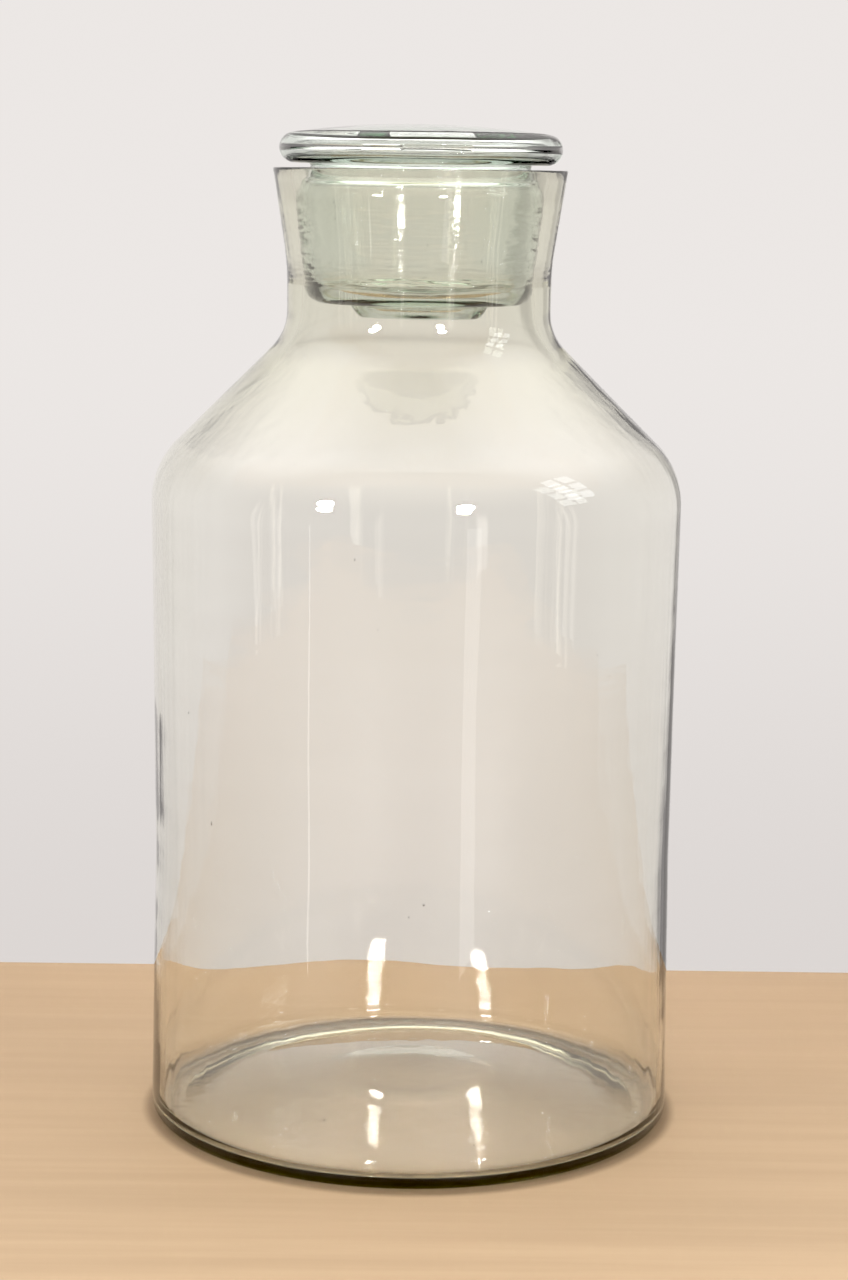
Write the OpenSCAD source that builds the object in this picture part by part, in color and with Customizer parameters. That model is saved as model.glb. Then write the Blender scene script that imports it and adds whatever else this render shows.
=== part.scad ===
// Blown-glass specimen jar with a hollow ground-glass stopper.
// Millimetres, +Z up. The origin is the centre of the base, on the surface the jar stands on.
// Both pieces are solids of revolution about Z, so each is one outline, turned.
// An outline is a list of [radius, height, rounding] corners.

/* [Body] */
// Outside diameter of the body at the heel and at the shoulder
body_d = 252; // [235:1:275]
// How far the side draws in at its waist, on the radius
waist_in = 1.8; // [0:0.1:3]
// Height of the waist
waist_z = 130; // [90:1:200]
// Thickness of the side wall
wall = 3.6; // [2.6:0.1:5]
// Height at which the line of the side meets the line of the shoulder
shoulder_z = 314.5; // [300:0.5:330]
// Rounding of the shoulder
shoulder_round = 40; // [25:1:45]

/* [Base] */
// Rounding of the heel, outside
heel_round = 6; // [3:0.5:8]
// Width of the flat ring that the jar stands on
rest_ring_w = 10; // [6:1:16]
// Thickness of the floor
floor_t = 5; // [3.5:0.1:7]
// How far the middle of the base is pushed up, underneath
push_up = 11.5; // [4:0.5:15]
// Diameter of the flat top of the push-up
push_up_d = 68; // [50:1:90]

/* [Neck] */
// Height of the jar without its stopper
rim_z = 453.5; // [445:0.5:470]
// Outside diameter of the neck where it is narrowest
neck_d = 124.4; // [120:0.1:128]
// Height at which the line of the shoulder meets the line of the neck
neck_root_z = 377.5; // [370:0.5:384]
// Length of the flare below the rim
flare_h = 44.5; // [40:0.5:50]
// How far the neck widens from its narrowest place to the rim, on the radius
flare_out = 6.7; // [5:0.1:8]
// Thickness of the glass at the rim
rim_t = 7.6; // [6.5:0.1:8.5]

/* [Ground seat] */
// Radius of the seat at its upper edge
seat_top_r = 58.1; // [57:0.1:58.5]
// Depth of the seat's upper edge below the rim
seat_top_depth = 16.5; // [14:0.5:19]
// Length of the ground seat
seat_len = 37; // [32:0.5:40]
// How much the seat narrows on the radius for each millimetre down
seat_taper = 0.115; // [0.09:0.005:0.13]
// Gap between the plug and the seat, on the radius
seat_gap = 0.15; // [0.1:0.05:0.3]

/* [Stopper] */
// Diameter of the disc on top
disc_d = 132.6; // [128:0.1:137]
// Thickness of the disc at its rounded edge
disc_t = 14.5; // [13:0.5:16]
// Height of the low dome on the disc
dome_h = 4.2; // [2:0.1:7]
// Gap between the rim and the disc when the plug is seated
disc_gap = 2; // [1:0.5:4]
// Height of the plug's shoulder above the seat's upper edge
plug_shoulder = 11; // [10:0.5:13]
// Radius of the waist between the plug and the disc
stem_r = 51.5; // [49:0.5:53]
// Depth of the plug below the seat's upper edge
plug_len = 45.5; // [44:0.5:48]
// Rounding of the plug's lower edge
plug_round = 9; // [6:0.5:11]
// Diameter of the button under the plug
button_d = 66.6; // [56:0.2:74]
// Depth of the button below the plug
button_h = 7; // [4:0.5:9]
// Thickness of the stopper's glass
stopper_wall = 3.8; // [3:0.1:4.5]

/* [Hidden] */

turn_fn = 120;           // fineness of a turned shape on screen
arc_steps = 8;           // chords in each rounded corner
dome_steps = 10;         // chords in the dome
ground_edge = 0.8;       // the edge that grinding leaves on the rim
inner_heel_round = 6;    // the inside of the heel, where the glass pools
rest_ring_round = 3;     // the inner edge of the ring that the jar stands on
floor_round = 100;       // the easy bends of the pushed-up floor
floor_spread = 2;        // how much wider the push-up is on its upper side, on the radius
flare_round = 120;       // the easy bend from the neck into its flare
root_round = 24;         // the bend from the shoulder into the neck, outside
inner_root_round = 40;   // the same bend inside, where the glass is thick
root_drop = 8;           // how far the thick glass reaches below an even wall there
seat_low_round = 2;      // the lower edge of the ground seat
button_sag = 1.5;        // how far the middle of the button hangs below its edge
button_draft = 4;        // how far the button narrows towards its lower edge, on the radius
button_round = 7;        // the button's lower edge
button_root_round = 1.5; // where the button meets the plug, outside
air_root_round = 3;      // the same place inside
plug_floor_extra = 0.8;  // how much thicker the plug's floor is than the rest
plug_bend = 4;           // height above the seat at which the plug begins to draw in
plug_bend_round = 14;    // the easy bend there
air_bend_round = 9;      // the same bend in the air inside
shoulder_in = 3.2;       // how far the plug has drawn in at its shoulder
plug_shoulder_round = 3; // the plug's shoulder, inside and outside
air_shoulder_drop = 2;   // how far the air's shoulder lies below the plug's
stem_rise = 2;           // height from the plug's shoulder to the waist
air_stem_rise = 0.5;     // the same for the air inside
stem_round = 1;          // the two edges of the waist, outside
air_stem_round = 2;      // the waist's lower edge, inside
air_disc_round = 3;      // where the air widens from the waist into the disc
dome_foot_in = 2;        // how far the dome's foot lies inside the flat of the disc

body_r = body_d / 2;
inner_r = body_r - wall;
rest_r = body_r - heel_round;
floor_edge_r = rest_r - 2 * rest_ring_w;
inner_push_r = push_up_d / 2 + floor_spread;
inner_push_z = push_up + floor_t;
neck_r = neck_d / 2;
rim_r = neck_r + flare_out;
seat_top_z = rim_z - seat_top_depth;
seat_low_z = seat_top_z - seat_len;
seat_low_r = seat_top_r - seat_taper * seat_len;
slope = (neck_root_z - shoulder_z) / (body_r - neck_r);
inner_root_z = neck_root_z + slope * (neck_r - seat_low_r) - wall * sqrt(1 + slope * slope) - root_drop;
inner_shoulder_z = shoulder_z - wall * tan(atan(slope) / 2);

disc_r = disc_d / 2;
disc_low_z = rim_z + disc_gap;
disc_top_z = disc_low_z + disc_t;
disc_round = disc_t / 2;
dome_r = disc_r - disc_round;
dome_sphere_r = (dome_r * dome_r + dome_h * dome_h) / (2 * dome_h);
plug_low_z = seat_top_z - plug_len;
plug_top_z = seat_top_z + plug_shoulder;
plug_bend_z = seat_top_z + plug_bend;

// Radius of the plug's tapered side, carried on past both ends
function plug_r(z) = seat_top_r - seat_gap + seat_taper * (z - seat_top_z);

shoulder_r = plug_r(plug_bend_z) - shoulder_in;

function unit(v) = v / norm(v);
function flat_part(p) = [p[0], p[1]];

// The points of corner p between its neighbours a and b, rounded to radius r
function corner(a, p, b, r) =
    r == 0 ? [p] :
    let (
        u = unit(a - p),
        v = unit(b - p),
        half = acos(u * v) / 2,
        centre = p + unit(u + v) * r / sin(half),
        first = p + u * r / tan(half) - centre,
        last = p + v * r / tan(half) - centre,
        start = atan2(first[1], first[0]),
        turn = (atan2(last[1], last[0]) - start + 540) % 360 - 180
    )
    [for (i = [0:arc_steps]) centre + r * [cos(start + turn * i / arc_steps), sin(start + turn * i / arc_steps)]];

// A closed outline of [radius, height, rounding] corners as plain points
function rounded(outline) =
    let (n = len(outline))
    [for (i = [0:n - 1])
        each corner(
            flat_part(outline[(i + n - 1) % n]),
            flat_part(outline[i]),
            flat_part(outline[(i + 1) % n]),
            outline[i][2])];

// The dome's points from its foot to just short of the axis, lowered by drop
function dome(foot_r, top_z, drop) = [
    for (i = [0:dome_steps - 1])
        let (r = foot_r * (1 - i / dome_steps))
        [r, top_z - drop - dome_sphere_r + sqrt(pow(dome_sphere_r, 2) - r * r), 0]
];

module turned(outline) {
    rotate_extrude($fn = turn_fn)
        polygon(rounded(outline));
}

// One vessel: pushed-up base, heel, side, shoulder, neck and ground rim, then back down the inside
module jar() {
    color([0.80, 0.82, 0.74, 0.5])
        turned([
            [0, push_up, 0],
            [push_up_d / 2, push_up, floor_round],
            [rest_r - rest_ring_w, 0, rest_ring_round],
            [body_r, 0, heel_round],
            [body_r - waist_in, waist_z, 0],
            [body_r, shoulder_z, shoulder_round],
            [neck_r, neck_root_z, root_round],
            [neck_r, rim_z - flare_h, flare_round],
            [rim_r, rim_z, ground_edge],
            [rim_r - rim_t, rim_z, ground_edge],
            [seat_top_r, seat_top_z, 0],
            [seat_low_r, seat_low_z, seat_low_round],
            [seat_low_r, inner_root_z, inner_root_round],
            [inner_r, inner_shoulder_z, shoulder_round - wall],
            [inner_r - waist_in, waist_z, 0],
            [inner_r, floor_t, inner_heel_round],
            [floor_edge_r, floor_t, floor_round],
            [inner_push_r, inner_push_z, floor_round],
            [0, inner_push_z, 0]
        ]);
}

// The glass of the stopper on the outside: button, plug, waist, disc and dome
module stopper_outside() {
    turned(concat(
        [
            [0, plug_low_z - button_h, 0],
            [button_d / 2 - button_draft, plug_low_z - button_h + button_sag, button_round],
            [button_d / 2, plug_low_z, button_root_round],
            [plug_r(plug_low_z), plug_low_z, plug_round],
            [plug_r(plug_bend_z), plug_bend_z, plug_bend_round],
            [shoulder_r, plug_top_z, plug_shoulder_round],
            [stem_r, plug_top_z + stem_rise, stem_round],
            [stem_r, disc_low_z, stem_round],
            [disc_r, disc_low_z, disc_round],
            [disc_r, disc_top_z, disc_round]
        ],
        dome(dome_r - dome_foot_in, disc_top_z + dome_h, 0),
        [[0, disc_top_z + dome_h, 0]]
    ));
}

// The air sealed inside the blown stopper
module stopper_air() {
    low_z = plug_low_z + stopper_wall + plug_floor_extra;
    button_air_z = plug_low_z + stopper_wall - button_h;
    disc_air_round = disc_round - stopper_wall;
    turned(concat(
        [
            [0, button_air_z, 0],
            [button_d / 2 - button_draft - stopper_wall, button_air_z + button_sag, button_round],
            [button_d / 2 - stopper_wall, low_z, air_root_round],
            [plug_r(low_z) - stopper_wall, low_z, plug_round - stopper_wall / 2],
            [plug_r(plug_bend_z) - stopper_wall, plug_bend_z, air_bend_round],
            [shoulder_r - shoulder_in, plug_top_z - air_shoulder_drop, plug_shoulder_round],
            [stem_r - stopper_wall, plug_top_z + air_stem_rise, air_stem_round],
            [stem_r - stopper_wall, disc_low_z + stopper_wall, air_disc_round],
            [disc_r - stopper_wall, disc_low_z + stopper_wall, disc_air_round],
            [disc_r - stopper_wall, disc_top_z - stopper_wall, disc_air_round]
        ],
        dome(dome_r - dome_foot_in, disc_top_z + dome_h, stopper_wall),
        [[0, disc_top_z + dome_h - stopper_wall, 0]]
    ));
}

module stopper() {
    color([0.70, 0.82, 0.74, 0.5])
        difference() {
            stopper_outside();
            stopper_air();
        }
}

jar();
stopper();
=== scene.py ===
import math
import random

import bmesh
import bpy
from mathutils import Matrix, Vector, noise


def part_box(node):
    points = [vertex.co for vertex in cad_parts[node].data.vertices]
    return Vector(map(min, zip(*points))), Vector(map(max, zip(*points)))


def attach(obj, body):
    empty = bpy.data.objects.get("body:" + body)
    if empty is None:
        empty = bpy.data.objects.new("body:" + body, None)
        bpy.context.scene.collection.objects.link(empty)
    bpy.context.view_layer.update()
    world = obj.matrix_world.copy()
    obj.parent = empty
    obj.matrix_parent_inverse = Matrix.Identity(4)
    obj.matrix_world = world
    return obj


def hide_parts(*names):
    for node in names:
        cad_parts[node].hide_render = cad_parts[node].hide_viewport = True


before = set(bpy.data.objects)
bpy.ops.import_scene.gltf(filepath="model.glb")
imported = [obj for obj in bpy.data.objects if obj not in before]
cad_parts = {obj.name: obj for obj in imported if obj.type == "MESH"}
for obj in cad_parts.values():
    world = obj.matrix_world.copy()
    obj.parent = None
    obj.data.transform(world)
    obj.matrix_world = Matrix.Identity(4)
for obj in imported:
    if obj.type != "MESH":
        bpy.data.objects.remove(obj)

# A blown-glass specimen jar and its hollow ground stopper, in metres, +Z up, standing on z = 0.
# Both pieces are turned outlines, like the CAD solids that they stand for, with the unevenness
# of blown glass added to every face that wasn't ground.

MM = 0.001
random.seed(7)
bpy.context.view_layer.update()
_, jar_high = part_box("jar")
_, stopper_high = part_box("stopper")

# ---------------------------------------------------------------- sizes, in millimetres

RIM_Z = round(jar_high.z / MM, 2)
TOP_Z = round(stopper_high.z / MM, 2)

# The body
BODY_R = 126.0
WAIST_IN = 1.8
WAIST_Z = 130.0
WALL = 3.6
SHOULDER_Z = 314.5
SHOULDER_ROUND = 40.0

# The base
HEEL_ROUND = 6.0
REST_RING_W = 10.0
REST_RING_ROUND = 3.0
FLOOR_T = 5.0
FLOOR_ROUND = 100.0
FLOOR_SPREAD = 2.0
PUSH_UP = 11.5
PUSH_UP_R = 34.0
INNER_HEEL_ROUND = 6.0

# The neck
NECK_R = 62.2
NECK_ROOT_Z = 377.5
ROOT_ROUND = 24.0
ROOT_DROP = 8.0
INNER_ROOT_ROUND = 40.0
FLARE_H = 44.5
FLARE_OUT = 6.7
FLARE_ROUND = 120.0
RIM_T = 7.6
GROUND_EDGE = 0.8

# The ground seat
SEAT_TOP_R = 58.1
SEAT_TOP_Z = RIM_Z - 16.5
SEAT_LEN = 37.0
SEAT_TAPER = 0.115
SEAT_GAP = 0.15
SEAT_LOW_ROUND = 2.0

# The stopper's disc and waist
DISC_R = 66.3
DISC_T = 14.5
DISC_GAP = 2.0
STEM_R = 51.5
STEM_RISE = 2.0
STEM_ROUND = 1.0

# The plug
PLUG_LEN = 45.5
PLUG_ROUND = 9.0
PLUG_BEND = 4.0
PLUG_BEND_ROUND = 14.0
PLUG_SHOULDER = 11.0
PLUG_SHOULDER_ROUND = 3.0
SHOULDER_IN = 3.2

# The button under the plug
BUTTON_R = 33.3
BUTTON_H = 7.0
BUTTON_SAG = 1.5
BUTTON_ROUND = 7.0
BUTTON_DRAFT = 4.0
BUTTON_ROOT_ROUND = 1.5

# The air inside the stopper
STOPPER_WALL = 3.8
PLUG_FLOOR_EXTRA = 0.8
AIR_ROOT_ROUND = 3.0
AIR_PLUG_ROUND = 7.0
AIR_BEND_ROUND = 9.0
AIR_SHOULDER_DROP = 2.0
AIR_STEM_RISE = 0.5
AIR_STEM_ROUND = 2.0
AIR_DISC_ROUND = 3.0

# Sizes that follow from those above
REST_IN_R = BODY_R - HEEL_ROUND - REST_RING_W
FLOOR_EDGE_R = REST_IN_R - REST_RING_W
FLARE_LOW_Z = RIM_Z - FLARE_H
SEAT_LOW_Z = SEAT_TOP_Z - SEAT_LEN
SEAT_LOW_R = SEAT_TOP_R - SEAT_TAPER * SEAT_LEN
DISC_LOW_Z = RIM_Z + DISC_GAP
DISC_TOP_Z = DISC_LOW_Z + DISC_T
PLUG_LOW_Z = SEAT_TOP_Z - PLUG_LEN
PLUG_TOP_Z = SEAT_TOP_Z + PLUG_SHOULDER
PLUG_BEND_Z = SEAT_TOP_Z + PLUG_BEND

# Where the unevenness of the glass fades out towards a flat or ground face
RING_FADE = 8.0
HEEL_FADE_Z = 24.0
INNER_HEEL_FADE_Z = 30.0
RIM_FADE = 4.0

# How finely the outlines and the turns are cut
STRAIGHT_STEP = 4.5
ARC_STEP = 2.2
LEAST_ARC_STEPS = 5
DOME_STEPS = 10
TURN_STEPS = 270
FULL_TURN = 2 * math.pi
TOLERANCE = 0.001


# ---------------------------------------------------------------- turned shapes

def corner(before, here, after, rounding):
    """The points of a corner rounded to a radius, in an outline's own plane."""
    if rounding == 0:
        return [here]
    u, v = (before - here).normalized(), (after - here).normalized()
    half = u.angle(v) / 2
    centre = here + (u + v).normalized() * rounding / math.sin(half)
    first = here + u * rounding / math.tan(half) - centre
    last = here + v * rounding / math.tan(half) - centre
    start = math.atan2(first.y, first.x)
    turn = (math.atan2(last.y, last.x) - start + 3 * math.pi) % FULL_TURN - math.pi
    steps = max(LEAST_ARC_STEPS, math.ceil(abs(turn) * rounding / ARC_STEP))
    angles = [start + turn * i / steps for i in range(steps + 1)]
    return [centre + rounding * Vector((math.cos(a), math.sin(a))) for a in angles]


def smooth_outline(outline):
    """Turns corners into closely spaced points, each with its ripple.

    A corner is (radius, height, rounding, ripple). Ripple is the share of the unevenness there.
    """
    spots = [Vector(c[:2]) for c in outline]
    rough = []
    for i, (_, _, rounding, ripple) in enumerate(outline):
        if i in (0, len(outline) - 1):
            rough.append((spots[i], ripple))
        else:
            rough += [(p, ripple) for p in corner(spots[i - 1], spots[i], spots[i + 1], rounding)]
    points = [rough[0]]
    for (a, ripple_a), (b, ripple_b) in zip(rough, rough[1:]):
        steps = max(1, math.ceil((b - a).length / STRAIGHT_STEP))
        for k in range(1, steps + 1):
            t = k / steps
            points.append((a.lerp(b, t), ripple_a + (ripple_b - ripple_a) * t))
    return points


def add_turned(mesh, points, unevenness, inside_out=False):
    """Adds a closed turned shell to a bmesh. Its first and last points lie on the axis.

    unevenness(place, index) gives how far, in millimetres, the blown surface lies inside its
    outline at full ripple.
    """
    rings = []
    for i, (p, ripple) in enumerate(points):
        before = points[max(i - 1, 0)][0]
        after = points[min(i + 1, len(points) - 1)][0]
        along = (after - before).normalized()
        outwards = Vector((along.y, -along.x))
        turns = 1 if p.x < TOLERANCE else TURN_STEPS
        ring = []
        for k in range(turns):
            a = FULL_TURN * k / TURN_STEPS
            place = round_axis(p.x, a, p.y)
            depth = ripple * unevenness(place, i) if ripple else 0.0
            r, z = p.x - outwards.x * depth, p.y - outwards.y * depth
            if turns == 1:
                r = 0.0
            ring.append(mesh.verts.new(round_axis(r, a, z) * MM))
        rings.append(ring)
    for low, high in zip(rings, rings[1:]):
        for k in range(TURN_STEPS):
            following = (k + 1) % TURN_STEPS
            if len(low) == 1:
                loop = [low[0], high[following], high[k]]
            elif len(high) == 1:
                loop = [low[k], low[following], high[0]]
            else:
                loop = [low[k], low[following], high[following], high[k]]
            mesh.faces.new(loop[::-1] if inside_out else loop).smooth = True


# Seeds: how much longer than wide, and how finely they are cut
SEED_STRETCH = (1.2, 3.0)
SEED_FINENESS = 2


def add_seeds(mesh, count, place_of, smallest, largest):
    """Adds small bubbles of air inside the glass, mostly small ones, drawn out upright."""
    for _ in range(count):
        size = smallest + (largest - smallest) * random.random() ** 3
        stretch = random.uniform(*SEED_STRETCH)
        centre = Matrix.Translation(place_of() * MM)
        shape = centre @ Matrix.Diagonal((size, size, size * stretch, 1 / MM)) * MM
        made = bmesh.ops.create_icosphere(
            mesh, subdivisions=SEED_FINENESS, radius=1.0, matrix=shape
        )
        faces = {f for v in made["verts"] for f in v.link_faces}
        for f in faces:
            f.normal_flip()
            f.smooth = True


def placed(name, data):
    """A new object in the scene."""
    obj = bpy.data.objects.new(name, data)
    bpy.context.scene.collection.objects.link(obj)
    return obj


def meshed(mesh, name, material):
    """Makes an object from a bmesh."""
    data = bpy.data.meshes.new(name)
    mesh.to_mesh(data)
    mesh.free()
    data.materials.append(material)
    return placed(name, data)


def finish_piece(mesh, name, material, node, body):
    """Makes an object from a bmesh and lets it stand for a CAD node."""
    piece = meshed(mesh, name, material)
    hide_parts(node)
    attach(piece, body)


def wave(place, around, along, shift):
    """Smooth noise about -0.5 to 0.5, with wavelengths round and along the axis, in millimetres."""
    spot = (place.x / around + shift, place.y / around, place.z / along - shift)
    return noise.noise(Vector(spot))


def round_axis(r, a, z):
    """The point at a radius and an angle about the axis."""
    return Vector((r * math.cos(a), r * math.sin(a), z))


# ---------------------------------------------------------------- the jar

def side_r(z):
    """The outside radius of the body's side, drawn in slightly at its waist."""
    reach = WAIST_Z if z < WAIST_Z else SHOULDER_Z - WAIST_Z
    return BODY_R - WAIST_IN * (1 - abs(z - WAIST_Z) / reach)


def jar_outline():
    """The jar's outside, from under the base to the rim, and its inside, from there down."""
    fade_z = RIM_Z - RIM_FADE
    rim_r = NECK_R + FLARE_OUT
    slope = (NECK_ROOT_Z - SHOULDER_Z) / (BODY_R - NECK_R)
    inner_shoulder = SHOULDER_Z - WALL * math.tan(math.atan(slope) / 2)
    even_wall = WALL * math.hypot(1, slope)
    inner_root = NECK_ROOT_Z + slope * (NECK_R - SEAT_LOW_R) - even_wall - ROOT_DROP
    inner_push = PUSH_UP + FLOOR_T
    outside = [
        (0, PUSH_UP, 0, 1),
        (PUSH_UP_R, PUSH_UP, FLOOR_ROUND, 0.8),
        (REST_IN_R - RING_FADE, PUSH_UP * RING_FADE / (REST_IN_R - PUSH_UP_R), 0, 0.4),
        (REST_IN_R, 0, REST_RING_ROUND, 0),
        (BODY_R, 0, HEEL_ROUND, 0),
        (side_r(HEEL_FADE_Z), HEEL_FADE_Z, 0, 0.8),
        (side_r(WAIST_Z), WAIST_Z, 0, 1),
        (BODY_R, SHOULDER_Z, SHOULDER_ROUND, 1),
        (NECK_R, NECK_ROOT_Z, ROOT_ROUND, 0.8),
        (NECK_R, FLARE_LOW_Z, FLARE_ROUND, 0.7),
        (NECK_R + FLARE_OUT * (fade_z - FLARE_LOW_Z) / FLARE_H, fade_z, 0, 0.5),
        (rim_r, RIM_Z, GROUND_EDGE, 0),
    ]
    inside = [
        (rim_r - RIM_T, RIM_Z, GROUND_EDGE, 0),
        (SEAT_TOP_R, SEAT_TOP_Z, 0, 0),
        (SEAT_LOW_R, SEAT_LOW_Z, SEAT_LOW_ROUND, 0),
        (SEAT_LOW_R, inner_root, INNER_ROOT_ROUND, 0.6),
        (BODY_R - WALL, inner_shoulder, SHOULDER_ROUND - WALL, 1),
        (side_r(WAIST_Z) - WALL, WAIST_Z, 0, 1),
        (side_r(INNER_HEEL_FADE_Z) - WALL, INNER_HEEL_FADE_Z, 0, 1),
        (BODY_R - WALL, FLOOR_T, INNER_HEEL_ROUND, 0.4),
        (FLOOR_EDGE_R, FLOOR_T, FLOOR_ROUND, 0.6),
        (PUSH_UP_R + FLOOR_SPREAD, inner_push, FLOOR_ROUND, 0.8),
        (0, inner_push, 0, 1),
    ]
    return outside, inside


# Depths in millimetres of the swell and of the turned rings, and where their noise starts
OUTSIDE_SKIN = (0.5, 0.05, 3.7)
INSIDE_SKIN = (0.8, 0.10, 11.3)
DRAWN_LINE_DEPTH = 0.03

# Wavelengths of each, round and along the axis, in millimetres
SWELL_WAVES = (85, 120)
TURNED_WAVES = (75, 13)
DRAWN_WAVES = (7, 160)

# Keeps a swell on the inner side of its outline, or most of it for the air in the stopper
SWELL_MIDDLE = 0.45
AIR_SWELL_MIDDLE = 0.2


def jar_unevenness(first_inside):
    """Blown glass: a slow swell, shallow rings from turning, and fine lines from drawing it up."""
    def depth(place, index):
        swell, rings, shift = OUTSIDE_SKIN if index < first_inside else INSIDE_SKIN
        return (
            swell * (SWELL_MIDDLE + wave(place, *SWELL_WAVES, shift))
            + rings * wave(place, *TURNED_WAVES, shift + 5)
            + DRAWN_LINE_DEPTH * wave(place, *DRAWN_WAVES, shift + 9)
        )
    return depth


# Where the seeds lie, in millimetres: ranges of height or radius, and of depth in the glass
SIDE_SEED_Z = (20, SHOULDER_Z - 25)
SIDE_SEED_DEPTH = (1.3, WALL - 1.5)
FLOOR_SEED_R = (45, 95)
FLOOR_SEED_RISE = (1.6, 3)
FLOOR_RUN = 75


def seed_in_side():
    """A place in the middle of the body's wall, in millimetres."""
    z, a = random.uniform(*SIDE_SEED_Z), random.uniform(0, FULL_TURN)
    r = side_r(z) - random.uniform(*SIDE_SEED_DEPTH)
    return round_axis(r, a, z)


def seed_in_floor():
    """A place in the thickness of the base, in millimetres."""
    r, a = random.uniform(*FLOOR_SEED_R), random.uniform(0, FULL_TURN)
    underside = PUSH_UP * (REST_IN_R - r) / FLOOR_RUN
    return round_axis(r, a, underside + random.uniform(*FLOOR_SEED_RISE))


def make_jar(material):
    """One closed shell, from under the base over the rim to the floor inside, with its seeds."""
    outside, inside = jar_outline()
    points = smooth_outline(outside + inside)
    on_rim = next(i for i, (p, _) in enumerate(points) if p.y > RIM_Z - TOLERANCE)
    first_inside = on_rim + 2
    mesh = bmesh.new()
    add_turned(mesh, points, jar_unevenness(first_inside))
    add_seeds(mesh, 30, seed_in_side, 0.12, 0.45)
    add_seeds(mesh, 12, seed_in_floor, 0.15, 0.5)
    finish_piece(mesh, "jar_glass_vessel", material, "jar", "jar")


# ---------------------------------------------------------------- the stopper

def plug_r(z):
    """The radius of the plug's ground side."""
    return SEAT_TOP_R - SEAT_GAP + SEAT_TAPER * (z - SEAT_TOP_Z)


def dome(foot_r, top_z, ripple):
    """The low dome on the disc, from its foot to just short of the axis."""
    rise = TOP_Z - DISC_TOP_Z
    sphere_r = (foot_r ** 2 + rise ** 2) / (2 * rise)
    centre_z = top_z - sphere_r
    radii = [foot_r * (1 - i / DOME_STEPS) for i in range(DOME_STEPS)]
    return [(r, centre_z + math.sqrt(sphere_r ** 2 - r ** 2), 0, ripple) for r in radii]


def stopper_outline():
    """The outside of the stopper's glass, from the button up to the dome."""
    button_z = PLUG_LOW_Z - BUTTON_H
    bend_r = plug_r(PLUG_BEND_Z)
    edge_round = DISC_T / 2
    return [
        (0, button_z, 0, 0.5),
        (BUTTON_R - BUTTON_DRAFT, button_z + BUTTON_SAG, BUTTON_ROUND, 0.4),
        (BUTTON_R, PLUG_LOW_Z, BUTTON_ROOT_ROUND, 0.2),
        (plug_r(PLUG_LOW_Z), PLUG_LOW_Z, PLUG_ROUND, 0.3),
        (bend_r, PLUG_BEND_Z, PLUG_BEND_ROUND, 0),
        (bend_r - SHOULDER_IN, PLUG_TOP_Z, PLUG_SHOULDER_ROUND, 0),
        (STEM_R, PLUG_TOP_Z + STEM_RISE, STEM_ROUND, 0),
        (STEM_R, DISC_LOW_Z, STEM_ROUND, 0),
        (DISC_R, DISC_LOW_Z, edge_round, 0.6),
        (DISC_R, DISC_TOP_Z, edge_round, 0.6),
        *dome(DISC_R - edge_round, TOP_Z, 0.5),
        (0, TOP_Z, 0, 0),
    ]


def air_outline():
    """The air sealed inside the stopper, about a wall's thickness in from its outside."""
    low = PLUG_LOW_Z + STOPPER_WALL + PLUG_FLOOR_EXTRA
    button_z = PLUG_LOW_Z + STOPPER_WALL - BUTTON_H
    button_r = BUTTON_R - STOPPER_WALL
    bend_r = plug_r(PLUG_BEND_Z)
    shoulder_z = PLUG_TOP_Z - AIR_SHOULDER_DROP
    stem_r = STEM_R - STOPPER_WALL
    disc_r = DISC_R - STOPPER_WALL
    disc_low, disc_top = DISC_LOW_Z + STOPPER_WALL, DISC_TOP_Z - STOPPER_WALL
    edge_round = DISC_T / 2 - STOPPER_WALL
    return [
        (0, button_z, 0, 0.6),
        (button_r - BUTTON_DRAFT, button_z + BUTTON_SAG, BUTTON_ROUND, 0.5),
        (button_r, low, AIR_ROOT_ROUND, 0.4),
        (plug_r(low) - STOPPER_WALL, low, AIR_PLUG_ROUND, 0.8),
        (bend_r - STOPPER_WALL, PLUG_BEND_Z, AIR_BEND_ROUND, 0.15),
        (bend_r - 2 * SHOULDER_IN, shoulder_z, PLUG_SHOULDER_ROUND, 0.1),
        (stem_r, PLUG_TOP_Z + AIR_STEM_RISE, AIR_STEM_ROUND, 0.1),
        (stem_r, disc_low, AIR_DISC_ROUND, 0.1),
        (disc_r, disc_low, edge_round, 0.4),
        (disc_r, disc_top, edge_round, 0.4),
        *dome(DISC_R - DISC_T / 2, TOP_Z - STOPPER_WALL, 0.6),
        (0, TOP_Z - STOPPER_WALL, 0, 0.6),
    ]


# Middle of the swell, depth and wavelengths of the swell, the same of the lines, and where their
# noise starts
OUTER_SKIN = (SWELL_MIDDLE, 0.4, (55, 40), 0.05, (8, 60), 21.0)
AIR_SKIN = (AIR_SWELL_MIDDLE, 0.7, (38, 30), 0.08, (9, 50), 31.0)


def stopper_skin(place, middle, swell, swell_waves, lines, line_waves, shift):
    """A slow swell with fine lines in it."""
    return (
        swell * (middle + wave(place, *swell_waves, shift))
        + lines * wave(place, *line_waves, shift + 4)
    )


def outer_unevenness(place, index):
    return stopper_skin(place, *OUTER_SKIN)


def air_unevenness(place, index):
    """The air swells out of its outline, into the glass."""
    return -stopper_skin(place, *AIR_SKIN)


# Where the seeds of the stopper lie, in millimetres
PLUG_SEED_Z = (PLUG_LOW_Z + 10, SEAT_TOP_Z - 2)
PLUG_SEED_DEPTH = (1.2, STOPPER_WALL - 1.8)
DISC_SEED_R = (10, DISC_R - 12)


def seed_in_plug():
    """A place in the glass of the plug's side, in millimetres."""
    z, a = random.uniform(*PLUG_SEED_Z), random.uniform(0, FULL_TURN)
    r = plug_r(z) - random.uniform(*PLUG_SEED_DEPTH)
    return round_axis(r, a, z)


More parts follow.
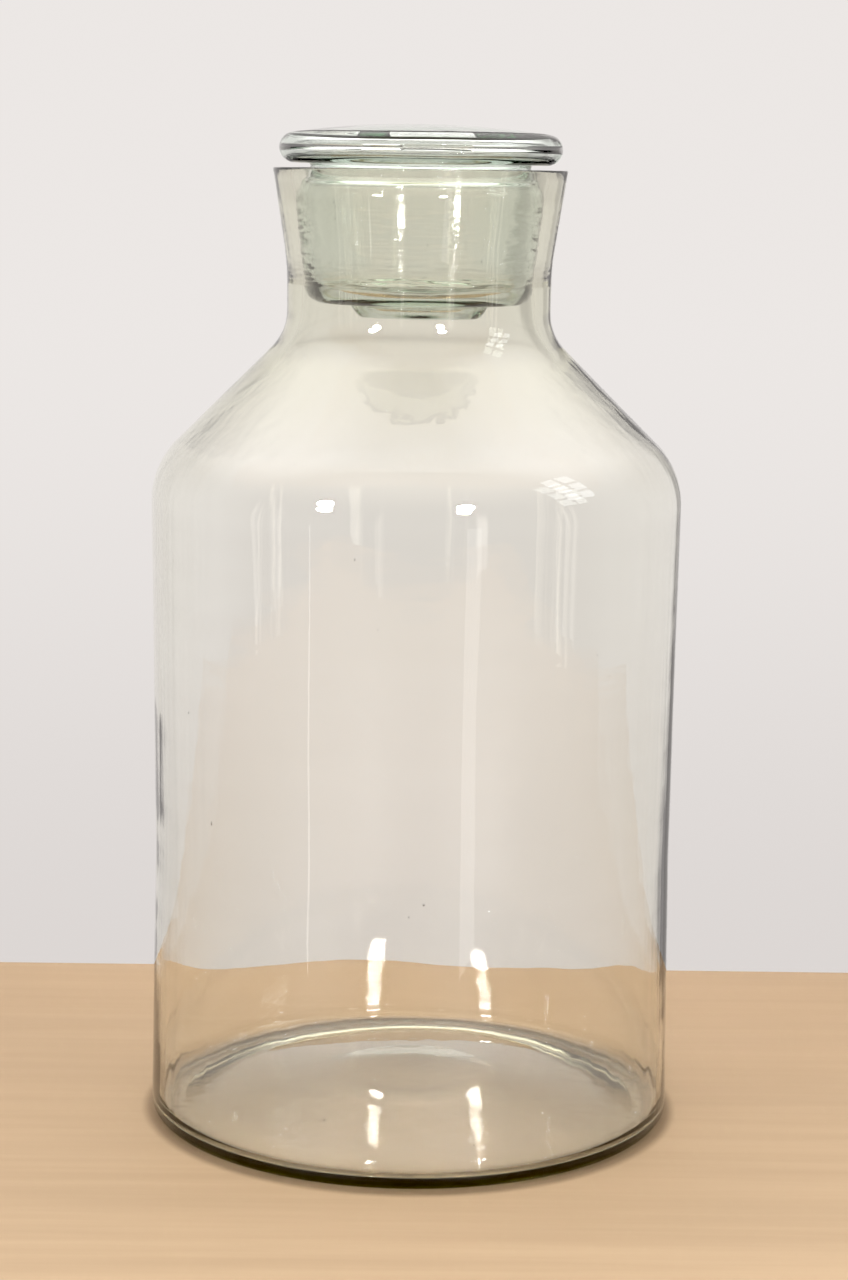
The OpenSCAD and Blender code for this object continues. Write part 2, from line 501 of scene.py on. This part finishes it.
def seed_in_disc():
    """A place in the glass of the disc's underside, in millimetres."""
    r, a = random.uniform(*DISC_SEED_R), random.uniform(0, FULL_TURN)
    return round_axis(r, a, DISC_LOW_Z + STOPPER_WALL / 2)


def make_stopper(material):
    """A closed shell of glass with the closed shell of its air inside, and its seeds."""
    mesh = bmesh.new()
    add_turned(mesh, smooth_outline(stopper_outline()), outer_unevenness)
    add_turned(mesh, smooth_outline(air_outline()), air_unevenness, inside_out=True)
    add_seeds(mesh, 40, seed_in_plug, 0.1, 0.4)
    add_seeds(mesh, 12, seed_in_disc, 0.12, 0.5)
    finish_piece(
        mesh, "stopper_glass_hollow", material, "stopper", "stopper"
    )


# ---------------------------------------------------------------- materials

class Nodes:
    """Short ways to build a node tree."""

    def __init__(self, tree):
        self.tree = tree
        tree.nodes.clear()

    def add(self, kind, **settings):
        node = self.tree.nodes.new(kind)
        for key, value in settings.items():
            setattr(node, key, value)
        return node

    def put(self, value, socket):
        if isinstance(value, bpy.types.NodeSocket):
            self.tree.links.new(value, socket)
        else:
            socket.default_value = value

    def math(self, operation, a, b=0.0):
        node = self.add("ShaderNodeMath", operation=operation)
        self.put(a, node.inputs[0])
        self.put(b, node.inputs[1])
        return node.outputs[0]

    def times(self, a, b):
        return self.math("MULTIPLY", a, b)

    def split(self, vector):
        node = self.add("ShaderNodeSeparateXYZ")
        self.put(vector, node.inputs[0])
        return node.outputs["X"], node.outputs["Y"], node.outputs["Z"]

    def from_axis(self, x, y):
        squares = self.math("ADD", self.math("POWER", x, 2.0), self.math("POWER", y, 2.0))
        return self.math("SQRT", squares)

    def ramp(self, value, low, high, to_low=0.0, to_high=1.0):
        node = self.add("ShaderNodeMapRange", interpolation_type="SMOOTHSTEP")
        self.put(value, node.inputs["Value"])
        node.inputs["From Min"].default_value = low
        node.inputs["From Max"].default_value = high
        node.inputs["To Min"].default_value = to_low
        node.inputs["To Max"].default_value = to_high
        return node.outputs["Result"]

    def noise(self, place, scale, detail, stretch=(1, 1, 1), rough=0.5):
        mapping = self.add("ShaderNodeMapping")
        self.put(place, mapping.inputs["Vector"])
        mapping.inputs["Scale"].default_value = stretch
        node = self.add("ShaderNodeTexNoise")
        self.put(mapping.outputs["Vector"], node.inputs["Vector"])
        node.inputs["Scale"].default_value = scale
        node.inputs["Detail"].default_value = detail
        node.inputs["Roughness"].default_value = rough
        return node.outputs["Fac"]

    def mix(self, share, a, b):
        node = self.add("ShaderNodeMix", data_type="RGBA")
        self.put(share, node.inputs[0])
        self.put(a, node.inputs[6])
        self.put(b, node.inputs[7])
        return node.outputs[2]

    def bump(self, height, distance, strength, normal=None):
        node = self.add("ShaderNodeBump")
        self.put(height, node.inputs["Height"])
        node.inputs["Distance"].default_value = distance
        self.put(strength, node.inputs["Strength"])
        if normal is not None:
            self.put(normal, node.inputs["Normal"])
        return node.outputs["Normal"]

    def finish(self, kind, **sources):
        node = self.add(kind)
        for key, value in sources.items():
            self.put(value, node.inputs[key])


def new_material(name):
    """A material and the short ways to build its nodes."""
    material = bpy.data.materials.new(name)
    material.use_nodes = True
    return material, Nodes(material.node_tree)


def between(n, value, low, high, soft):
    """1 between two values, fading to 0 just outside them."""
    up = n.ramp(value, low - soft, low)
    down = n.ramp(value, high, high + soft, 1.0, 0.0)
    return n.times(up, down)


# Fine unevenness that only tilts the surface, as settings of a noise
DRAWN_LINES = {"scale": 120, "detail": 1, "stretch": (1, 1, 0.06)}
TURNED_RINGS = {"scale": 60, "detail": 2, "stretch": (0.2, 0.2, 1), "rough": 0.6}
GRIND_RINGS = {"scale": 650, "detail": 0, "stretch": (0.15, 0.15, 1)}
SKIN_DEPTH = 0.00009
SKIN_STRENGTH = 0.6
GRIND_DEPTH = 0.00025

# Where the glass is less than clear: each is from, to, roughness at from, roughness at to
PATCHES = {"scale": 180, "detail": 1}
SMUDGES = {"scale": 14, "detail": 1, "stretch": (1, 1, 0.7)}
SMUDGE_ROUGH = (0.52, 0.8, 0.0, 0.035)
WORN_ROUGH = (0.4, 0.7, 0.02, 0.25)
GROUND_ROUGH = (0.3, 0.7, 0.0, 0.04)

# Heights in metres between which the wear under the base fades out
WORN_UP_TO = (0.0001, 0.0005)

GLASS_IOR = 1.51

# Light taken out per metre of glass: red, green and blue
JAR_ABSORBS = (10.0, 10.0, 18.0)
STOPPER_ABSORBS = (16.0, 8.5, 14.0)


def glass(name, absorbed, ground_share):
    """Clear blown glass whose colour comes from its thickness.

    absorbed is the light taken out per metre of glass. ground_share(n, radius, height) is a mask
    of the faces that were ground.
    """
    material, n = new_material(name)
    place = n.add("ShaderNodeTexCoord").outputs["Object"]
    x, y, height = n.split(place)
    ground = ground_share(n, n.from_axis(x, y), height)

    skin = n.math("ADD", n.noise(place, **DRAWN_LINES), n.noise(place, **TURNED_RINGS))
    soft_normal = n.bump(skin, SKIN_DEPTH, SKIN_STRENGTH)
    normal = n.bump(n.noise(place, **GRIND_RINGS), GRIND_DEPTH, ground, soft_normal)

    patches = n.noise(place, **PATCHES)
    smudges = n.ramp(n.noise(place, **SMUDGES), *SMUDGE_ROUGH)
    underneath = n.ramp(height, *WORN_UP_TO, 1.0, 0.0)
    worn = n.times(underneath, n.ramp(patches, *WORN_ROUGH))
    ground_rough = n.times(ground, n.ramp(patches, *GROUND_ROUGH))
    rough = n.math("MAXIMUM", n.math("MAXIMUM", smudges, worn), ground_rough)

    shader = n.add("ShaderNodeBsdfPrincipled")
    shader.inputs["Base Color"].default_value = (1, 1, 1, 1)
    shader.inputs["Transmission Weight"].default_value = 1.0
    shader.inputs["IOR"].default_value = GLASS_IOR
    n.put(rough, shader.inputs["Roughness"])
    n.put(normal, shader.inputs["Normal"])

    most = max(absorbed)
    inside = n.add("ShaderNodeVolumeAbsorption")
    inside.inputs["Color"].default_value = (*[1 - a / most for a in absorbed], 1)
    inside.inputs["Density"].default_value = most

    n.finish(
        "ShaderNodeOutputMaterial",
        Surface=shader.outputs["BSDF"],
        Volume=inside.outputs["Volume"],
    )
    return material


# How strongly the seat was ground beside the rim and the plug
SEAT_GRIND = 0.25

# Where the ground faces fade out, in metres: above and below, and by radius or height
GRIND_FADE = 0.002
SEAT_GRIND_R = ((SEAT_TOP_R + 1) * MM, (SEAT_TOP_R + 2) * MM)
PLUG_GRIND_R = ((SEAT_LOW_R - 2.2) * MM, (SEAT_LOW_R - 1.2) * MM)
RIM_GRIND_Z = ((RIM_Z - 0.6) * MM, (RIM_Z - 0.1) * MM)


def jar_ground(n, radius, height):
    """The taper seat inside the neck, and the rim."""
    seat = n.times(
        between(n, height, SEAT_LOW_Z * MM, SEAT_TOP_Z * MM, GRIND_FADE),
        n.ramp(radius, *SEAT_GRIND_R, 1.0, 0.0),
    )
    rim = n.ramp(height, *RIM_GRIND_Z)
    return n.math("MAXIMUM", n.times(seat, SEAT_GRIND), rim)


def plug_ground(n, radius, height):
    """The plug's tapered side, on the outside of the glass."""
    return n.times(
        between(n, height, (PLUG_LOW_Z + PLUG_ROUND) * MM, SEAT_TOP_Z * MM, GRIND_FADE),
        n.ramp(radius, *PLUG_GRIND_R),
    )


# The boards: noises, the colours between them, and the gloss
GRAIN = {"scale": 9, "detail": 5, "stretch": (0.12, 1, 1), "rough": 0.6}
FINE_GRAIN = {"scale": 70, "detail": 3, "stretch": (0.05, 1, 1), "rough": 0.6}
FINE_SHARE = 0.4
TABLE_MIX = (0.35, 0.65)
TABLE_PALE = (0.535, 0.40, 0.265, 1)
TABLE_DARK = (0.465, 0.345, 0.225, 1)
TABLE_ROUGH = (0.3, 0.7, 0.6, 0.72)
TABLE_GLOSS = 0.15
GRAIN_DEPTH = 0.0003
GRAIN_STRENGTH = 0.3

# The boards are darker towards the back: from, to, share at from, share at to
TABLE_BACK_TONE = (0.28, 0.195, 0.12, 1)
TABLE_BACK_RAMP = (-0.35, 0.2, 0.0, 0.55)

# A painted shadow on the table: a soft dark ring round the heel, and a fainter painted shade over
# all that the jar stands on, in place of the jar's contact shadow
TABLE_SHADE = (0.09, 0.055, 0.03, 1)
HEEL_SHADE = 0.6
HEEL_SHADE_W = 10.0
HEEL_SHADE_FADE = 0.006
UNDER_SHADE = 0.17
UNDER_SHADE_EDGE = ((BODY_R - 20) * MM, (BODY_R - 5) * MM)


def table_top():
    """Pale unpolished pine boards, with a painted contact shadow of the jar on them."""
    material, n = new_material("pale_table")
    place = n.add("ShaderNodeTexCoord").outputs["Object"]
    x, y, _ = n.split(place)
    grain, fine = n.noise(place, **GRAIN), n.noise(place, **FINE_GRAIN)
    share = n.math("ADD", n.times(grain, 1 - FINE_SHARE), n.times(fine, FINE_SHARE))
    colour = n.mix(n.ramp(share, *TABLE_MIX), TABLE_DARK, TABLE_PALE)
    colour = n.mix(n.ramp(y, *TABLE_BACK_RAMP), colour, TABLE_BACK_TONE)

    # Painted shadow: a dark ring round the heel and a fainter darkening under the jar, standing in
    # for the jar's contact shadow
    distance = n.from_axis(x, y)
    ring = between(n, distance, (BODY_R - HEEL_SHADE_W) * MM, BODY_R * MM, HEEL_SHADE_FADE)
    under_shade = n.ramp(distance, *UNDER_SHADE_EDGE, UNDER_SHADE, 0.0)
    painted_shade = n.math("MAXIMUM", n.times(ring, HEEL_SHADE), under_shade)
    colour = n.mix(painted_shade, colour, TABLE_SHADE)

    shader = n.add("ShaderNodeBsdfPrincipled")
    n.put(colour, shader.inputs["Base Color"])
    n.put(n.ramp(grain, *TABLE_ROUGH), shader.inputs["Roughness"])
    shader.inputs["Specular IOR Level"].default_value = TABLE_GLOSS
    n.put(n.bump(fine, GRAIN_DEPTH, GRAIN_STRENGTH), shader.inputs["Normal"])
    n.finish("ShaderNodeOutputMaterial", Surface=shader.outputs["BSDF"])
    return material


# ---------------------------------------------------------------- stage, light and camera

# The table, in metres
TABLE_BACK_Y = 0.237
TABLE_FRONT_Y = -1.7
TABLE_HALF_W = 1.3
TABLE_T = 0.035
TABLE_EDGE = 0.004
TABLE_CLEARANCE = 0.0002

# The room, by direction: the wall behind, the side in front, pale panels and dark cards
WALL_PALE = (0.84, 0.805, 0.785, 1)
WALL_LOW = (0.72, 0.68, 0.66, 1)
ROOM_FRONT = (0.46, 0.41, 0.35, 1)
PANEL = (2.3, 2.15, 1.95, 1)
CARD = (0.14, 0.13, 0.12, 1)
CARD_DEPTH = 0.18
RIGHT_DEPTH = 0.45
STREAKS = {"scale": 7.0, "detail": 2, "rough": 0.6}
CARD_STREAKS = (0.40, 0.52)
PANEL_STREAKS = (0.52, 0.62)
DIRECTIONS = 8.0
DIRECTION_EDGE = (-0.7, -0.1)

# Ranges of direction in which the room changes: bearings in radians, and rises
FRONT_FROM = (math.radians(70), math.radians(115))
RIGHT_CARD_STARTS = (math.radians(13), math.radians(17))
RIGHT_CARD_ENDS = (math.radians(24), math.radians(29))
WALL_RISE = (-0.3, -0.05)
CARDS_END_RISE = (0.16, 0.42)
CEILING_RISE = (0.35, 0.95)
CEILING = 3.35

# What the lamps and the window face: the middle of the jar
AIM = Vector((0, 0, 0.3))

LAMP_BEARINGS = {"lamp_left": -40, "lamp_right": 21}
LAMP_DISTANCE = 2.0
LAMP_HEIGHT = 1.25
LAMP_POWER = 150
LAMP_SIZE = 0.25

# Bearing and brightness of each, clockwise from the camera
REFLECTORS = ((-40, 2.6), (21, 1.3), (-106, 2.5), (61, 1.8), (-71, 1.2))
REFLECTOR_SIZE = (0.075, 0.30)
REFLECTOR_DISTANCE = 0.52
REFLECTOR_HEIGHT = 0.15

SOFT_BEARING = -25
SOFT_DISTANCE = 2.4
SOFT_HEIGHT = 2.6
SOFT_SIZE = 1.6
SOFT_POWER = 20

BLACK_LEVEL = 0.014

# The window: its panes in metres, and where it stands as seen from the jar
PANE = 0.30
PANE_PITCH = 1.28
PANE_COLUMNS = 2
PANE_ROWS = 3
WINDOW_BEARING = 79
WINDOW_RISE = 35
WINDOW_DISTANCE = 2.6
WINDOW_COLOUR = (0.93, 0.97, 1.0, 1)
WINDOW_SHINE = 4.5

# The camera, in metres and millimetres of lens, found by fitting the jar's outline to the photo's
CAMERA_DISTANCE = 1.324
CAMERA_HEIGHT = 0.4562
CAMERA_PITCH = math.radians(9.668)
CAMERA_YAW = math.radians(0.195)
CAMERA_ROLL = math.radians(0.777)
CAMERA_LENS = 78.75
CAMERA_SENSOR = 36
CAMERA_REACH = 50


def make_table():
    """A table that ends just behind the jar, a hair below it."""
    mesh = bmesh.new()
    bmesh.ops.create_cube(mesh, size=1.0)
    depth = TABLE_BACK_Y - TABLE_FRONT_Y
    size = Matrix.Diagonal((2 * TABLE_HALF_W, depth, TABLE_T, 1))
    middle = (0, (TABLE_BACK_Y + TABLE_FRONT_Y) / 2, -TABLE_T / 2 - TABLE_CLEARANCE)
    place = Matrix.Translation(middle)
    bmesh.ops.transform(mesh, matrix=place @ size, verts=mesh.verts)
    bmesh.ops.bevel(mesh, geom=mesh.edges[:], offset=TABLE_EDGE, segments=3, affect="EDGES")
    table = meshed(mesh, "table", table_top())


def make_room():
    """A pale room: a white wall behind, a dimmer and warmer side in front, a bright ceiling.

    Soft dark cards stand between the eight main directions, with pale panels among them on the
    dim side, so the glass has lines along its edges and soft upright streaks to be seen by.
    """
    world = bpy.data.worlds.new("room")
    world.use_nodes = True
    bpy.context.scene.world = world
    n = Nodes(world.node_tree)
    x, y, up = n.split(n.add("ShaderNodeTexCoord").outputs["Generated"])
    bearing = n.math("ARCTAN2", x, y)
    front = n.ramp(n.math("ABSOLUTE", bearing), *FRONT_FROM)
    wall = n.mix(n.ramp(up, *WALL_RISE), WALL_LOW, WALL_PALE)
    room = n.mix(front, wall, ROOM_FRONT)

    around = n.add("ShaderNodeCombineXYZ")
    n.put(bearing, around.inputs[0])
    streaks = n.noise(around.outputs[0], **STREAKS)
    low_part = n.ramp(up, *CARDS_END_RISE, 1.0, 0.0)
    turning = n.math("COSINE", n.times(bearing, DIRECTIONS))
    gaps = n.times(n.ramp(turning, *DIRECTION_EDGE, 1.0, 0.0), low_part)
    cards = n.times(gaps, n.ramp(streaks, *CARD_STREAKS, 1.0, 0.0))
    panels = n.times(gaps, n.ramp(streaks, *PANEL_STREAKS))
    right = n.times(
        n.ramp(bearing, *RIGHT_CARD_STARTS),
        n.ramp(bearing, *RIGHT_CARD_ENDS, RIGHT_DEPTH, 0.0),
    )
    cards = n.math("MAXIMUM", n.times(cards, CARD_DEPTH), n.times(right, low_part))
    colour = n.mix(cards, room, CARD)
    colour = n.mix(n.times(panels, front), colour, PANEL)

    shade = n.add("ShaderNodeBackground")
    n.put(colour, shade.inputs["Color"])
    n.put(n.ramp(up, *CEILING_RISE, 1.0, CEILING), shade.inputs["Strength"])
    n.finish("ShaderNodeOutputWorld", Surface=shade.outputs["Background"])


def lamp(name, bearing, distance, height, size, power, shape="RECTANGLE"):
    """A lamp that shows in glass and gloss only. Its bearing is clockwise from the camera."""
    data = bpy.data.lights.new(name, "AREA")
    data.shape = shape
    data.size, data.size_y = size
    data.energy = power
    obj = placed(name, data)
    a = math.radians(bearing)
    obj.location = (distance * math.sin(a), -distance * math.cos(a), height)
    obj.rotation_euler = (AIM - obj.location).to_track_quat("-Z", "Y").to_euler()
    obj.visible_diffuse = False
    obj.visible_camera = False
    return obj


def make_lamps():
    """Two round lamps, low dim reflectors for the upright sides, and a soft key for the table."""
    for name, bearing in LAMP_BEARINGS.items():
        size = (LAMP_SIZE, LAMP_SIZE)
        lamp(name, bearing, LAMP_DISTANCE, LAMP_HEIGHT, size, LAMP_POWER, "ELLIPSE")
    for i, (bearing, shine) in enumerate(REFLECTORS):
        width, tall = REFLECTOR_SIZE
        power = shine * math.pi * width * tall
        place = (bearing, REFLECTOR_DISTANCE, REFLECTOR_HEIGHT)
        low = lamp(f"reflector_{i}", *place, REFLECTOR_SIZE, power)
        upright = (math.pi / 2, 0, -math.radians(bearing))
        low.rotation_euler = upright
        low.visible_transmission = False
    place = (SOFT_BEARING, SOFT_DISTANCE, SOFT_HEIGHT)
    soft = lamp("soft_key", *place, (SOFT_SIZE, SOFT_SIZE), SOFT_POWER)
    soft.visible_diffuse = True
    soft.visible_glossy = False
    soft.visible_transmission = False


def make_window():
    """A window of two by three panes, high on the right, that shows in glass and gloss only."""
    mesh = bmesh.new()
    pitch, half = PANE * PANE_PITCH, PANE / 2
    for column in range(PANE_COLUMNS):
        for row in range(PANE_ROWS):
            x = (column - (PANE_COLUMNS - 1) / 2) * pitch
            y = (row - (PANE_ROWS - 1) / 2) * pitch
            corners = ((-half, -half), (half, -half), (half, half), (-half, half))
            mesh.faces.new([mesh.verts.new((x + dx, y + dy, 0)) for dx, dy in corners])
    material, n = new_material("daylight_panes")
    shine = n.add("ShaderNodeEmission")
    shine.inputs["Color"].default_value = WINDOW_COLOUR
    shine.inputs["Strength"].default_value = WINDOW_SHINE
    n.finish("ShaderNodeOutputMaterial", Surface=shine.outputs["Emission"])

    window = meshed(mesh, "window", material)
    a, up = math.radians(WINDOW_BEARING), math.radians(WINDOW_RISE)
    way = Vector((math.sin(a) * math.cos(up), -math.cos(a) * math.cos(up), math.sin(up)))
    window.location = AIM + WINDOW_DISTANCE * way
    window.rotation_euler = (-way).to_track_quat("Z", "Y").to_euler()
    window.visible_camera = False
    window.visible_diffuse = False
    window.visible_shadow = False


def make_camera():
    """The photograph's view: slightly down, with a little yaw and roll."""
    data = bpy.data.cameras.new("camera")
    data.lens = CAMERA_LENS
    data.sensor_width = CAMERA_SENSOR
    data.clip_end = CAMERA_REACH
    camera = placed("camera", data)
    flat = math.cos(CAMERA_PITCH)
    forward = Vector((
        math.sin(CAMERA_YAW) * flat,
        math.cos(CAMERA_YAW) * flat,
        -math.sin(CAMERA_PITCH),
    ))
    level = forward.cross(Vector((0, 0, 1))).normalized()
    upright = level.cross(forward)
    right = level * math.cos(CAMERA_ROLL) + upright * math.sin(CAMERA_ROLL)
    up = upright * math.cos(CAMERA_ROLL) - level * math.sin(CAMERA_ROLL)
    camera.matrix_world = Matrix((
        (right.x, up.x, -forward.x, 0),
        (right.y, up.y, -forward.y, -CAMERA_DISTANCE),
        (right.z, up.z, -forward.z, CAMERA_HEIGHT),
        (0, 0, 0, 1),
    ))
    bpy.context.scene.camera = camera


def set_light_paths():
    """Enough bounces for light to cross both pieces, and slightly deeper dark tones."""
    scene = bpy.context.scene
    scene.view_settings.view_transform = "Standard"
    scene.view_settings.use_curve_mapping = True
    scene.view_settings.curve_mapping.black_level = (BLACK_LEVEL,) * 3
    scene.cycles.max_bounces = 11
    scene.cycles.transmission_bounces = 11
    scene.cycles.glossy_bounces = 6
    scene.cycles.diffuse_bounces = 2
    scene.cycles.sample_clamp_indirect = 150


# ---------------------------------------------------------------- the scene

make_camera()
make_room()
make_table()
make_lamps()
make_window()
set_light_paths()
make_jar(glass("blown_jar_glass", JAR_ABSORBS, jar_ground))
make_stopper(glass("blown_stopper_glass", STOPPER_ABSORBS, plug_ground))
